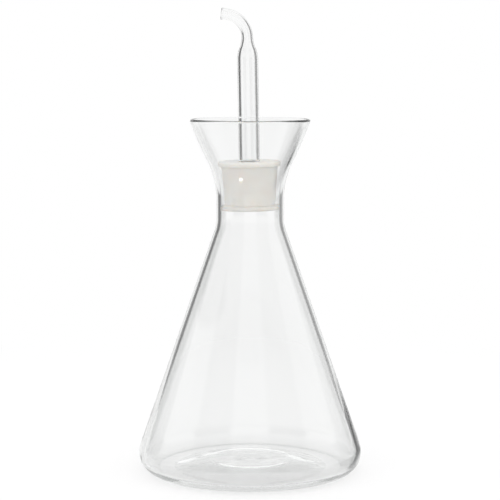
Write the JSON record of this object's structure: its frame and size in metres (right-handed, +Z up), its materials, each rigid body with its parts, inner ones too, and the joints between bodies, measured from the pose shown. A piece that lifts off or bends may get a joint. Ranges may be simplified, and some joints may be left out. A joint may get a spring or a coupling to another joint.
{
  "type": "oil cruet",
  "caption": "Empty clear glass conical flask with a flared mouth, a translucent silicone plug and a bent glass pouring spout, for oil.",
  "frame": {"origin": "centre of the flat ring that the flask stands on", "axes": "+Z up along the flask's axis; the nib of the spout points along -X; -Y is the front"},
  "size_m": [0.112, 0.112, 0.2309],
  "materials": {
    "flask_glass": "clear blown borosilicate glass, fire-polished rim",
    "plug_silicone": "milky translucent silicone, satin",
    "spout_glass": "clear drawn borosilicate glass tube, fire-polished ends"
  },
  "bodies": {
    "root": {"flask": "flask_glass", "stopper": "plug_silicone", "spout": "spout_glass"}
  },
  "joints": []
}
